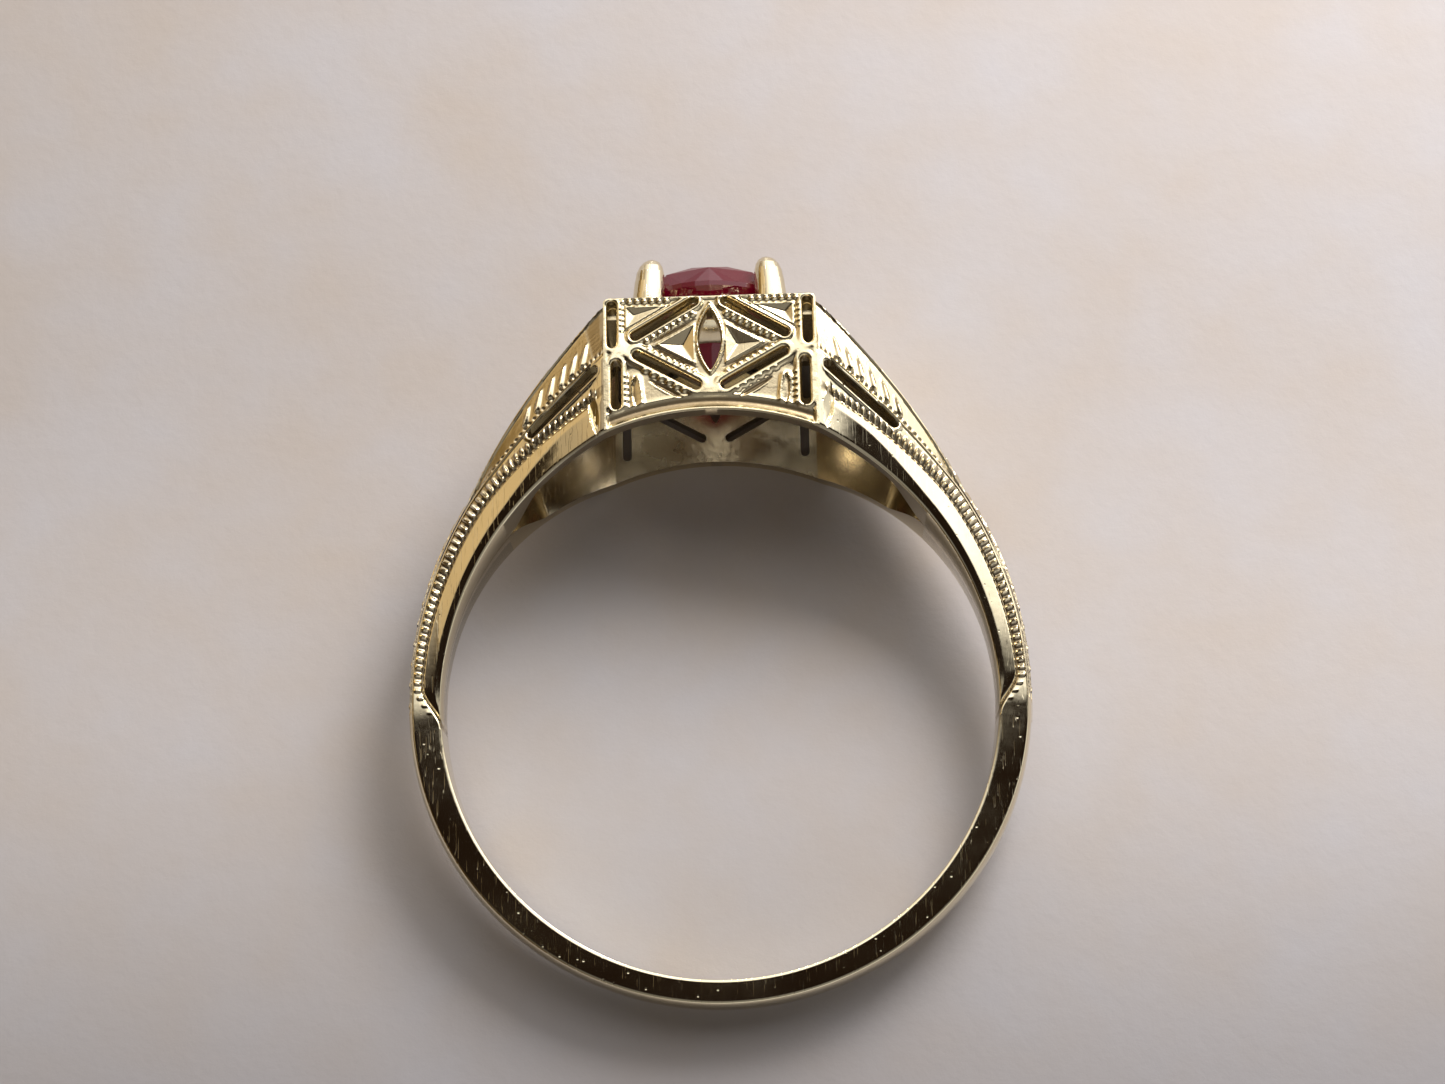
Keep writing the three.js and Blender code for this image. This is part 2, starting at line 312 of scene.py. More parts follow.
def boat(points, start, end, half):
    """A boat-shaped cut with pointed ends: 1 along its keel, 0 at its edge."""
    along, beside, length = off_segment(points, start, end)
    share = np.clip(along / length, 0, 1)
    beam = half * 4 * share * (1 - share) + 1e-6
    inside = (along > 0) & (along < length)
    return np.where(inside, np.clip(1 - np.abs(beside) / beam, 0, 1), 0)


def pyramid(points, a, b, c):
    """Depth inside a triangle, in millimetres from its nearest side."""
    corners = [np.asarray(p, float) for p in (a, b, c)]
    centre = sum(corners) / 3
    depth = np.full(len(points), 9.0)
    for start, end in zip(corners, corners[1:] + corners[:1]):
        _, beside, _ = off_segment(points, start, end)
        _, side, _ = off_segment(centre[None], start, end)
        depth = np.minimum(depth, beside * np.sign(side[0]))
    return np.clip(depth, 0, None)


def round_corner(distance):
    """How far a surface falls towards a soldered corner, so that two walls meet in one soft bend."""
    half_turn = math.tan(math.atan((FACE - SHANK_Z) / (FINGER - HEAD_X)) / 2)
    return 0.5 * half_turn / CORNER * np.clip(CORNER - distance, 0, CORNER) ** 2


def teardrop(points, start, end, half):
    """A cut that is wide and blunt at its start and runs out to a point: 1 along its keel."""
    along, beside, length = off_segment(points, start, end)
    share = np.clip(along / length, 0, 1)
    beam = half * 1.9 * (1 - share) * share**0.35 + 1e-6
    inside = (along > 0) & (along < length)
    return np.where(inside, np.clip(1 - np.abs(beside) / beam, 0, 1), 0)


def slanted_cut(points, start, end, half):
    """A boat-shaped cut with the graver leaned over: 0 at one side, 1, its full depth, at the other."""
    _, beside, _ = off_segment(points, start, end)
    body = boat(points, start, end, half)
    beam = np.abs(beside) / np.maximum(1 - body, 1e-3)
    return np.where(body > 0, np.clip((beside / np.maximum(beam, 1e-3) + 1) / 2, 0.01, 1), 0)


def worn(height, across, down, *place):
    """A height function rubbed soft: its mean over a few points around each place.

    across and down are the small steps along the two coordinates.
    """
    total = height(*place)
    turns = np.radians(np.arange(0, 360, 60))
    for turn in turns:
        moved = (place[0] + math.cos(turn) * across, place[1] + math.sin(turn) * down)
        total = total + height(*moved)
    return total / (len(turns) + 1)


def soft_edge(distance, radius):
    """How far a rounded edge falls away, at this distance in from the edge."""
    inside = np.clip(radius - distance, 0, radius)
    return radius - np.sqrt(radius**2 - inside**2)


def round_top(distance):
    """How far the head's top falls towards its soldered ends, this far from the end."""
    return 0.5 * soft_edge(np.clip(distance, 0, None), CORNER)


print("marks ready")

# %% [markdown]
# ## Materials
#
# Everything but the stone is 18 carat white gold: gold whitened with palladium or nickel, which
# keeps a warm, faintly yellow grey. It has three finishes here. Polished, it is a mirror with
# hairline scratches from wear and a few pits. Burnished, it was rubbed bright with a steel tool
# after it was struck, so its bands shine and its grooves don't. Chased, the bright cuts stay clean
# and the hollows hold tarnish, which the sheets carry in an attribute. The same attribute paints
# shade, a fixed share of the tarnish colour, on the back and inner faces of every struck sheet.

# %% Material helpers
def colour(code):
    """An sRGB hex colour as the linear RGBA that Blender's sockets want."""
    channels = [int(code[i : i + 2], 16) / 255 for i in (1, 3, 5)]
    linear = [c / 12.92 if c <= 0.04045 else ((c + 0.055) / 1.055) ** 2.4 for c in channels]
    return (*linear, 1.0)


def node(tree, kind, links=(), **settings):
    """Add a shader node, set its properties and sockets, and link (socket, output) pairs into it."""
    made = tree.nodes.new(kind)
    sockets = settings.pop("sockets", {})
    for key, value in settings.items():
        setattr(made, key, value)
    for key, value in sockets.items():
        made.inputs[key].default_value = value
    for key, output in links:
        tree.links.new(output, made.inputs[key])
    return made


def new_material(name, **sockets):
    """A material with one Principled shader and these socket values."""
    material = bpy.data.materials.new(name)
    material.use_nodes = True
    shader = material.node_tree.nodes["Principled BSDF"]
    for key, value in sockets.items():
        shader.inputs[key.replace("_", " ")].default_value = value
    return material, material.node_tree, shader


# %% White gold
# The tarnish colour also serves as painted shade, at a fixed share, on the back and inner faces of the
# sheets.
TARNISH_AND_SHADE = "#6C5230"        # old wax and sulphide in the hollows
TARNISH_ROUGHNESS = 0.28   # a full hollow is this much duller than clean metal
PATCH_SIZE = 2.5           # mm between brighter and duller patches of wear
PIT_SPACING = 0.35         # mm between casting pits
SCRATCH_DEPTH = 0.007      # mm, deeper than real hairlines so that they show


def hairlines(tree, place, turn, spacing, width):
    """Thin scratches in one direction: noise stretched along it and cut at its crest."""
    turned = node(tree, "ShaderNodeMapping", [("Vector", place)],
                  sockets={"Rotation": turn, "Scale": (1.0, 0.05, 0.05)})
    grain = node(tree, "ShaderNodeTexNoise", [("Vector", turned.outputs["Vector"])],
                 sockets={"Scale": 1.0 / (spacing * MM), "Detail": 1.0, "Roughness": 0.4})
    crest = node(tree, "ShaderNodeMapRange", [("Value", grain.outputs["Fac"])],
                 sockets={"From Min": 0.5 + width, "From Max": 0.5 + width + 0.04})
    return crest.outputs["Result"]


def white_gold(name, clean, dull, roughness, rubbed, scratches, swell_size, swell_depth, with_tarnish_and_shade):
    """18 carat white gold with patches of wear, hairlines, pits, and, from the sheets' attribute, tarnish
    in its hollows and painted shade on their inner faces.

    It goes from the colour clean and its roughness to the colour dull and the roughness rubbed.
    The metal swells by swell_depth over swell_size, both in millimetres.
    """
    material, tree, shader = new_material(name, Metallic=1.0, Roughness=roughness)
    place = node(tree, "ShaderNodeTexCoord").outputs["Object"]
    patches = node(tree, "ShaderNodeTexNoise", [("Vector", place)],
                   sockets={"Scale": 1 / (PATCH_SIZE * MM), "Detail": 4.0, "Roughness": 0.6})
    tint = node(tree, "ShaderNodeMix", [("Factor", patches.outputs["Fac"])], data_type="RGBA",
                sockets={"A": colour(clean), "B": colour(dull)})
    tone = tint.outputs["Result"]
    rough = node(tree, "ShaderNodeMapRange", [("Value", patches.outputs["Fac"])],
                 sockets={"From Min": 0.35, "From Max": 0.7, "To Min": roughness, "To Max": rubbed})
    rough_value = rough.outputs["Result"]
    # The sheets' attribute mixes in the tarnish colour and roughness: real tarnish in the hollows, painted
    # shade on the back and inner faces.
    if with_tarnish_and_shade:
        tarnish_and_shade = node(tree, "ShaderNodeAttribute", attribute_name="tarnish_and_shade").outputs["Fac"]
        tarnished_and_shaded = node(tree, "ShaderNodeMix", [("Factor", tarnish_and_shade), ("A", tone)], data_type="RGBA",
                     sockets={"B": colour(TARNISH_AND_SHADE)})
        tone = tarnished_and_shaded.outputs["Result"]
        rougher = node(tree, "ShaderNodeMath", [(0, tarnish_and_shade), (2, rough_value)], operation="MULTIPLY_ADD",
                       sockets={1: TARNISH_ROUGHNESS})
        rough_value = rougher.outputs["Value"]
    tree.links.new(tone, shader.inputs["Base Color"])
    tree.links.new(rough_value, shader.inputs["Roughness"])
    lines = hairlines(tree, place, (0.0, 0.0, 0.5), 0.05, 0.17)
    for turn in ((0.3, 0.0, 1.4), (0.0, 0.4, 2.3)):
        other = hairlines(tree, place, turn, 0.06, 0.18)
        lines = node(tree, "ShaderNodeMath", [(0, lines), (1, other)], operation="MAXIMUM").outputs["Value"]
    pits = node(tree, "ShaderNodeTexVoronoi", [("Vector", place)],
                sockets={"Scale": 1 / (PIT_SPACING * MM)})
    pit = node(tree, "ShaderNodeMapRange", [("Value", pits.outputs["Distance"])],
               sockets={"From Min": 0.06, "From Max": 0.13, "To Min": 1.0, "To Max": 0.0})
    marks = node(tree, "ShaderNodeMath", [(0, lines), (1, pit.outputs["Result"])], operation="MAXIMUM")
    waves = node(tree, "ShaderNodeTexNoise", [("Vector", place)],
                 sockets={"Scale": 1 / (swell_size * MM), "Detail": 3.0})
    swell = node(tree, "ShaderNodeBump", [("Height", waves.outputs["Fac"])],
                 sockets={"Strength": 0.5, "Distance": swell_depth * MM})
    worn_surface = [("Height", marks.outputs["Value"]), ("Normal", swell.outputs["Normal"])]
    bump = node(tree, "ShaderNodeBump", worn_surface, invert=True,
                sockets={"Strength": scratches, "Distance": SCRATCH_DEPTH * MM})
    tree.links.new(bump.outputs["Normal"], shader.inputs["Normal"])
    return material


# Lapped on a felt wheel and worn: a mirror with hairlines in all directions.
polished_gold = white_gold(
    "polished_18ct_white_gold", clean="#E9DFC6", dull="#DCCFAC", roughness=0.05, rubbed=0.12,
    scratches=0.5, swell_size=0.9, swell_depth=0.01, with_tarnish_and_shade=False)
# Struck in a die, then cut with a graver: bright edges on a softly uneven ground, dark hollows.
chased_gold = white_gold(
    "chased_18ct_white_gold", clean="#EDE2C5", dull="#DAC99F", roughness=0.1, rubbed=0.22,
    scratches=0.15, swell_size=0.28, swell_depth=0.02, with_tarnish_and_shade=True)
# Struck, then rubbed with polished steel: bands nearly as bright as the shank, dark grooves.
burnished_gold = white_gold(
    "burnished_18ct_white_gold", clean="#E9DFC6", dull="#DCCFAC", roughness=0.05, rubbed=0.13,
    scratches=0.3, swell_size=0.9, swell_depth=0.01, with_tarnish_and_shade=True)
print("white gold finishes:", [m.name for m in bpy.data.materials])


# %% Ruby
# Natural corundum, cut and polished: clear dark red with a high index, so facets show sharply.
def ruby_material():
    # The faint glow stands for light that the facets hand on inside the stone.
    material, tree, shader = new_material(
        "ruby_corundum", Roughness=0.04, IOR=1.77, Transmission_Weight=0.4, Specular_IOR_Level=0.1,
        Emission_Color=colour("#B00E34"), Emission_Strength=0.1)
    place = node(tree, "ShaderNodeTexCoord").outputs["Object"]
    cloud = node(tree, "ShaderNodeTexNoise", [("Vector", place)],
                 sockets={"Scale": 1 / (1.2 * MM), "Detail": 3.0})
    red = node(tree, "ShaderNodeMix", [("Factor", cloud.outputs["Fac"])], data_type="RGBA",
               sockets={"A": colour("#5E0A1E"), "B": colour("#3E0516")})
    tree.links.new(red.outputs["Result"], shader.inputs["Base Color"])
    return material


ruby = ruby_material()
print("materials:", [m.name for m in bpy.data.materials])

# %% [markdown]
# ## Galleries
#
# The front wall of the head is one sheet: four slots outline a diamond, a pointed window shows
# the stone, and the triangles between them are sunk, beaded and bright-cut. The back wall is the
# same die turned over. The drawing is made once for one half and mirrored by taking |x|.

# %% Gallery drawing
GROUND = -0.09     # the struck ground lies this far below the rims
SLOT_HALF = 0.145  # half the width of a pierced slot
WINDOW_MIDDLE, WINDOW_HALF, WINDOW_WIDE = 10.8, 1.02, 0.34
WINDOW_RIM = 0.12
GALLERY_SLOTS = [   # start, end, width of the rim
    ((2.3, 10.95), (0.5, 12.02), 0.17),    # upper side of the diamond
    ((2.25, 10.33), (0.45, 9.31), 0.24),   # lower side of the diamond
    ((3.02, 10.72), (3.02, 11.95), 0.2),   # upright by the corner, upper
    ((2.9, 8.75), (2.9, 10.02), 0.2),      # upright by the corner, lower
]
GALLERY_BEADS = [   # start, end, how many, how long across the row
    ((2.05, 10.72), (0.42, 11.69), 8, 0.2),    # inside the diamond, upper side
    ((2.0, 10.57), (0.42, 9.68), 8, 0.2),      # inside the diamond, lower side
    ((1.2, 12.07), (2.8, 12.07), 7, 0.13),     # along the top edge
    ((2.74, 11.05), (2.74, 11.95), 5, 0.13),   # beside the corner, upper
    ((2.12, 9.9), (0.7, 9.1), 6, 0.22),        # under the diamond
    ((2.6, 8.6), (2.6, 9.75), 6, 0.13),        # beside the corner, lower
]
GALLERY_BOATS = [   # start, end, half-width of the bright cuts beside the beads
    ((1.9, 10.67), (0.4, 11.47), 0.07),
    ((1.9, 10.62), (0.4, 9.85), 0.07),
    ((1.9, 9.52), (0.75, 8.84), 0.11),
]
DIAMOND_PYRAMID = (1.66, 10.65), (0.46, 11.32), (0.46, 9.98)
CORNER_PYRAMID = (2.6, 11.93), (1.28, 11.93), (2.6, 11.16)
GALLERY_WEDGE = (2.3, 9.72), (2.2, 8.42)
BEAD_HEIGHT = 0.1
CUT_DEPTH = 0.13


def window_edge(points):
    """Distance outside the pointed window, near enough."""
    share = (points[:, 1] - WINDOW_MIDDLE) / WINDOW_HALF
    beam = WINDOW_WIDE * (1 - share**2)
    lean = 2 * WINDOW_WIDE * share / WINDOW_HALF
    return (np.abs(points[:, 0]) - beam) / np.sqrt(1 + lean**2)


def gallery_saw(points):
    """Distance to the nearest sawn edge of the gallery."""
    half = np.abs(points)
    gaps = [slot_edge(half, start, end, SLOT_HALF) for start, end, _ in GALLERY_SLOTS]
    return np.minimum(np.min(gaps, axis=0), window_edge(half))


def gallery_ground(half):
    """The struck ground. It rises to the rims' level at the crossings and over the arch's foot."""
    crossing = np.hypot((half[:, 0] - 2.8) / 1.3, half[:, 1] - 10.42)
    foot = np.hypot(half[:, 0] / 1.3, half[:, 1] - 9.1)
    band = slot_edge(half, (2.3, 9.5), (2.2, 8.5), 0.06)
    return GROUND * smooth(0.1, 0.65, crossing) * smooth(0.1, 0.7, foot) * smooth(0.0, 0.2, band)


def gallery_height(points):
    """The struck picture: height above the face in millimetres, never above 0."""
    half = np.abs(points)
    ground = gallery_ground(half)
    height = ground
    for start, end, width in GALLERY_SLOTS:
        crown = rim(slot_edge(half, start, end, SLOT_HALF) + 0.02, width)
        height = np.maximum(height, ground * (1 - crown))
    height = np.maximum(height, ground * (1 - rim(window_edge(half) + 0.01, WINDOW_RIM)))
    for start, end, count, length in GALLERY_BEADS:
        height = np.maximum(height, GROUND + BEAD_HEIGHT * bead_row(half, start, end, count, length))
    for start, end, beam in GALLERY_BOATS:
        cut = boat(half, start, end, beam)
        height = height + 0.04 * (cut > 0) - CUT_DEPTH * cut
    wedge = slanted_cut(half, *GALLERY_WEDGE, 0.15)
    height = np.where(wedge > 0, -CUT_DEPTH * wedge, height)
    sunk = pyramid(half, *DIAMOND_PYRAMID) + 0.8 * pyramid(half, *CORNER_PYRAMID)
    height = np.where(sunk > 0, -0.03 - 0.5 * sunk, height)
    # a polished hollow band over the finger hole
    above = np.linalg.norm(half, axis=1) - FINGER
    scoop = smooth(0.6, 0.38, above)
    height = height * (1 - scoop) - 0.14 * scoop * np.sin(np.clip((above - 0.06) / 0.46, 0, 1) * math.pi)
    # flat borders along the top and the corners, then every edge rounded
    top_rim = smooth(HEAD_TOP - 0.09, HEAD_TOP - 0.05, half[:, 1])
    side_rim = smooth(HEAD_X - 0.16, HEAD_X - 0.08, half[:, 0])
    height = height * (1 - np.maximum(top_rim, side_rim))
    height = height - soft_edge(gallery_saw(half), 0.05) - round_corner(HEAD_X - half[:, 0])
    for room in (above, HEAD_TOP - half[:, 1]):
        height = height - soft_edge(np.clip(room, 0, None), 0.06)
    return height


def gallery_tarnish(points, height):
    """Tarnish in the deepest hollows, hardly any in the clean pyramids."""
    half = np.abs(points)
    clean = pyramid(half, *DIAMOND_PYRAMID) + pyramid(half, *CORNER_PYRAMID)
    return np.where(clean > 0, 0.05, 0.7 * smooth(-0.06, -0.12, height))


# %% Strike and pierce the galleries
def gallery_board(u, v):
    """Where a point of the drawing board lies on the face."""
    x = HEAD_X * (2 * u - 1)
    low = np.sqrt(FINGER**2 - x**2)
    top = HEAD_TOP - round_top(HEAD_X - np.abs(x))
    return np.stack([x, low + (top - low) * v], axis=1)


def gallery_front(u, v):
    points = gallery_board(u, v)
    height = worn(lambda x, y: gallery_height(np.column_stack([x, y])), WEAR, WEAR, *points.T)
    return np.column_stack([points, FACE + height]), gallery_tarnish(points, height)


def gallery_back(u, v):
    points = gallery_board(u, v)
    return np.column_stack([points, np.full(len(points), FACE - WALL)])


def make_gallery(name, turn_over):
    bm = struck_sheet(236, 150, gallery_front, gallery_back, lambda uv: gallery_saw(gallery_board(*uv.T)))
    if turn_over:
        bmesh.ops.scale(bm, vec=(1, 1, -1), verts=bm.verts)
        bmesh.ops.reverse_faces(bm, faces=bm.faces)
    return finish_piece(name + "_chased", bm, chased_gold, "chased_white_gold", name)


make_gallery("front_gallery", False)
make_gallery("back_gallery", True)

# %% [markdown]
# ## Side rails
#
# Each flank carries four bands that follow the ring: a polished band along the finger hole, a
# bevel, a groove, and a ladder of milgrain rungs. Near the seam they run together in a point,
# where the plain shank begins. One long slot is sawn beside the engraved facet.

# %% Rail drawing
RAIL_SLOT = ((3.62, 9.9), (5.6, 8.22))
CORNER_CUT = ((3.66, 9.3), (3.5, 7.85))
RUNG_PITCH = 0.235
RUNG_HALF = 0.048                 # half the thickness of a rung
RUNG_HEIGHT = 0.085
GROOVE_DEPTH = 0.1
GROOVE_HALF = 0.05
BEVEL_FALL = 0.06
TIP_START, TIP_END = 0.9, 0.995   # where the bands start to run together, and their point
TABLE_STEPS = 400                 # points in the tables of length along the side


def rail_plane(t, v):
    """The flank at t down the side and v from the finger hole (0) to the facet's foot (1)."""
    inside, outside = finger_line(t), foot_line(t)
    place = inside + (outside - inside) * v[:, None]
    width = half_width(place[:, 0])
    return np.column_stack([place, width + (SHANK_Z - width) * smooth(0.8, 1.0, t)])


def measured_run(line):
    """Length along a line of points, in millimetres from its first point."""
    return np.concatenate([[0], np.cumsum(np.linalg.norm(np.diff(line, axis=0), axis=1))])


table_t = np.linspace(0, 1, TABLE_STEPS)
rail_run = measured_run(rail_plane(table_t, np.full(TABLE_STEPS, 0.6)))


def rail_height(t, v):
    """The bands of the flank: height in millimetres, and how much tarnish they hold."""
    place = rail_plane(t, v)[:, :2]
    width = np.linalg.norm(foot_line(t) - finger_line(t), axis=1)
    run = np.interp(t, table_t, rail_run)
    tip = 1 - smooth(TIP_START, TIP_END, t)
    groove = (0.51 + 0.17 * smooth(0.0, 0.5, t)) * tip
    crease = (0.24 + 0.17 * (1 - smooth(0.15, 0.5, t))) * tip
    past_groove = (v - groove) * width
    level = smooth(TIP_END - 0.02, TIP_START - 0.03, t)
    bevel = np.clip((v - crease) / np.maximum(groove - crease, 1e-3), 0, 1)
    lean = 0.07 * smooth(0.0, 0.2, t) * smooth(1.0, 0.85, t)
    inner = -lean * (1 - np.clip(v / np.maximum(crease, 1e-3), 0, 1))
    height = np.where(v < crease, inner, np.where(past_groove < 0, -BEVEL_FALL * bevel, -0.05 * level))
    cut = np.clip(1 - np.abs(past_groove) / GROOVE_HALF, 0, 1) * (t < TIP_END)
    height = height - GROOVE_DEPTH * cut
    rung = np.abs((run / RUNG_PITCH) % 1 - 0.5) * RUNG_PITCH
    reach = 0.2 + 0.14 * smooth(0.15, 0.4, t) * smooth(0.75, 0.55, t)
    across = np.abs(past_groove - 0.04 - reach / 2) / (reach / 2)
    ladder = dome(np.hypot(rung / RUNG_HALF, np.clip(across, 0, 1) ** 3)) * (across < 1) * level
    cell = (past_groove > 0.03) * (across < 1) * level
    height = height - 0.05 * cell * smooth(0.25, 0.0, past_groove) + RUNG_HEIGHT * ladder
    height = height * smooth(0.05, 0.4, place[:, 0] - HEAD_X)   # the soldered bend is left plain
    saw = slot_edge(place, *RAIL_SLOT, SLOT_HALF)
    rims = rim(saw + 0.02, 0.15)
    height = np.where(rims > 0, np.maximum(height, -0.06 * (1 - rims)), height)
    wedge = slanted_cut(place, *CORNER_CUT, 0.16)
    height = np.where(wedge > 0, -0.12 * wedge, height)
    tarnish = np.clip(0.8 * cut + 0.5 * cell * (1 - ladder), 0, 1) * (1 - (rims > 0))
    height = height - soft_edge(v * width, 0.08) - soft_edge((1 - v) * width, 0.05) - soft_edge(saw, 0.04)
    return height - round_corner(place[:, 0] - HEAD_X), tarnish


# %% Strike the rails
def rail_front(u, v):
    place = rail_plane(u, v)
    steps = WEAR / rail_run[-1], WEAR / 1.2
    place[:, 2] += worn(lambda t, w: rail_height(t, w)[0], *steps, u, v)
    return place, rail_height(u, v)[1]


def rail_back(u, v):
    place = rail_plane(u, v)
    solid = smooth(0.3, 0.5, u)
    place[:, 2] = (place[:, 2] - WALL) * (1 - solid) + 0.01 * solid
    return place


def rail_saw(uv):
    """Distance outside the rail's slot."""
    return slot_edge(rail_plane(*uv.T)[:, :2], *RAIL_SLOT, SLOT_HALF)


def make_rail(name, side, depth):
    bm = struck_sheet(560, 48, rail_front, rail_back, rail_saw)
    bmesh.ops.scale(bm, vec=(side, 1, depth), verts=bm.verts)
    if side * depth < 0:
        bmesh.ops.reverse_faces(bm, faces=bm.faces)
    return finish_piece(name + "_chased", bm, burnished_gold, "polished_white_gold", name)


make_rail("front_right_rail", 1, 1)
make_rail("front_left_rail", -1, 1)
make_rail("back_right_rail", 1, -1)
make_rail("back_left_rail", -1, -1)

# %% [markdown]
# ## Shoulders
#
# The outside of each side is engraved: a leaning facet towards the front and the back, with a
# sprig of leaves and a fan of short cuts beside the head, and a low ridge between them.

# %% Shoulder drawing
BROW = 0.52   # share of the drawing board from the ridge out to the brow


def shoulder_plane(t, w):
    """The shoulder's outside, w from one foot (0) over the ridge (0.5) to the other foot (1)."""
    across = 2 * w - 1
    foot, brow, ridge = foot_line(t), brow_line(t), ridge_line(t)
    foot_z = half_width(foot[:, 0])
    foot_z = foot_z + (SHANK_Z - foot_z) * smooth(0.8, 1.0, t)
    brow_z = foot_z - 0.4 + 0.15 * t
    top = np.clip(np.abs(across) / BROW, 0, 1)[:, None]
    side = np.clip((np.abs(across) - BROW) / (1 - BROW), 0, 1)[:, None]
    place = ridge + (brow - ridge) * top + (foot - brow) * side
    depth = brow_z * top[:, 0] + (foot_z - brow_z) * side[:, 0]
    return np.column_stack([place, np.sign(across) * depth])


shoulder_run = measured_run(shoulder_plane(table_t, np.full(TABLE_STEPS, 0.5)))


def leaf(points, base, tip, half):
    """A raised leaf of two facets that meet along a blunt rib: 1 on the rib, 0 outside."""
    return np.clip(1.15 * teardrop(points, base, tip, half), 0, 1)


def repeat(run, pitch):
    """Place within the cell of a running pattern, once for the cell and once for each neighbour."""
    return [run % pitch + shift for shift in (0.0, pitch, -pitch)]


FACET_LEAVES = [   # base and tip as (mm from the head, share of the facet's width), half-width
    ((1.35, 0.22), (0.85, 0.93), 0.24), ((1.95, 0.26), (1.4, 0.9), 0.19), ((2.5, 0.26), (1.95, 0.88), 0.17),
    ((3.1, 0.28), (2.5, 0.85), 0.17), ((3.75, 0.3), (3.1, 0.82), 0.17), ((4.4, 0.32), (3.75, 0.75), 0.15),
]
LEAF_PITCH = 0.66
FIELD = -0.07      # the engraved field lies this far below the borders
LEAF_RISE = 0.09
BORDER = -0.01


def facet_height(t, run, up, width):
    """A leaning facet: a fan of short cuts beside the head, a sprig of leaves, punched dots."""
    fan = np.abs((up / 0.16) % 1 - 0.5) * 2
    fan_zone = smooth(0.72, 0.6, run - 0.15 * up) * smooth(0.06, 0.14, run)
    height = FIELD - 0.06 * fan_zone * fan
    points = np.column_stack([run, up / np.clip(width, 0.4, 1.0)])
    for base, tip, half in FACET_LEAVES:
        height = np.maximum(height, -0.09 + 0.11 * leaf(points, base, tip, half))
    dot = np.hypot(np.abs((run / 0.24) % 1 - 0.5) * 0.24, up - 0.17)
    height = height - 0.07 * smooth(0.085, 0.04, dot) * smooth(0.46, 0.4, t)
    return np.where((up < 0.09) | (up > width - 0.07), BORDER, height)


def laurel_height(run, aside, width):
    """The top between the facets: paired leaves and berries on a stem, edged with milgrain."""
    height = np.full(len(run), FIELD)
    for cell in repeat(run, LEAF_PITCH):
        points = np.column_stack([cell, aside])
        inner_leaf = leaf(points, (0.12, 0.1), (0.72, 0.62), 0.15)
        outer_leaf = leaf(points, (0.5, 1.75), (0.05, 0.95), 0.16)
        berry = dome(np.hypot(cell - 0.34, aside - 0.78) / 0.1)
        for mark in (inner_leaf, outer_leaf, berry):
            height = np.maximum(height, FIELD + LEAF_RISE * mark)
    height = np.where((height < -0.05) & (aside < width - 0.25), -0.09, height)
    height = np.where(aside < 0.06, -0.02, height)
    bead = np.hypot(np.abs((run / 0.2) % 1 - 0.5) * 0.2, aside - width + 0.14)
    height = np.where(aside > width - 0.25, FIELD + 0.08 * dome(bead / 0.09), height)
    return np.where(aside > width - 0.05, BORDER, height)


def shoulder_height(t, w):
    """The engraving, 0 where it fades out at the head's corner and before the seam."""
    across = np.abs(2 * w - 1)
    run = np.interp(t, table_t, shoulder_run)
    facet_width = np.linalg.norm(foot_line(t) - brow_line(t), axis=1) + 0.15
    up = (1 - across) / (1 - BROW) * facet_width     # mm above the foot of the facet
    top_width = half_width(brow_line(t)[:, 0]) - 0.3
    aside = across / BROW * top_width                # mm beside the ridge
    facet, top = facet_height(t, run, up, facet_width), laurel_height(run, aside, top_width)
    fade = smooth(0.97, 0.93, t) * smooth(0.0, 0.12, run)
    height = np.where(across > BROW, facet, top) * fade
    return height - soft_edge(up, 0.04) - round_top(run) * smooth(0.5, 0.9, up)


# %% Strike the shoulders
def shoulder_front(u, v):
    steps = WEAR / shoulder_run[-1], WEAR / 5.0
    height = worn(shoulder_height, *steps, u, v)
    return lift(shoulder_plane, u, v, height), smooth(-0.05, -0.1, height) * 0.6


def shoulder_back(u, v):
    """The underside: hollow near the head, and down on the rails further on."""
    place = shoulder_plane(u, v)
    foot = foot_line(u)
    solid = smooth(0.2, 0.45, u)[:, None]
    outward = place[:, :2] - foot
    hollow = foot + outward * 0.62
    place[:, :2] = hollow + (foot + 0.04 * outward - hollow) * solid
    place[:, 2] *= 0.86
    return place


def make_shoulder(name, side):
    bm = struck_sheet(400, 120, shoulder_front, shoulder_back)
    bmesh.ops.scale(bm, vec=(side, 1, 1), verts=bm.verts)
    if side < 0:
        bmesh.ops.reverse_faces(bm, faces=bm.faces)
    return finish_piece(name + "_chased", bm, chased_gold, "chased_white_gold", name)


make_shoulder("right_shoulder", 1)
make_shoulder("left_shoulder", -1)

# %% [markdown]
# ## Lower shank
#
# A plain half hoop. Its section, flat flanks and a domed outside, is drawn once as a wire and
# spun round the finger hole, which is what bending a drawn wire round a mandrel does.

# %% Spin the shank
FLANK_SHARE = 0.8   # of the shank's thickness, before its outside rounds over
SEAM_LAP = 0.1      # degrees that the shank reaches into the solder of each seam


def shank_section(thick):
    """The drawn wire's section: (along the finger, outward from the finger hole), edges eased."""
    flank = FLANK_SHARE * thick
    inside = [(0.0, 0.0), (SHANK_Z - 0.16, 0.0), (SHANK_Z - 0.06, 0.004), (SHANK_Z - 0.018, 0.018),
              (SHANK_Z - 0.002, 0.06), (SHANK_Z, 0.12), (SHANK_Z, flank - 0.14), (SHANK_Z, flank - 0.07)]
    turns = np.radians(np.arange(0, 90, 10))
    outside = [(SHANK_Z * math.cos(a), flank + (thick - flank) * math.sin(a)) for a in turns]
    half = inside + outside + [(0.0, thick)]
    return half + [(-z, r) for z, r in reversed(half[1:-1])]


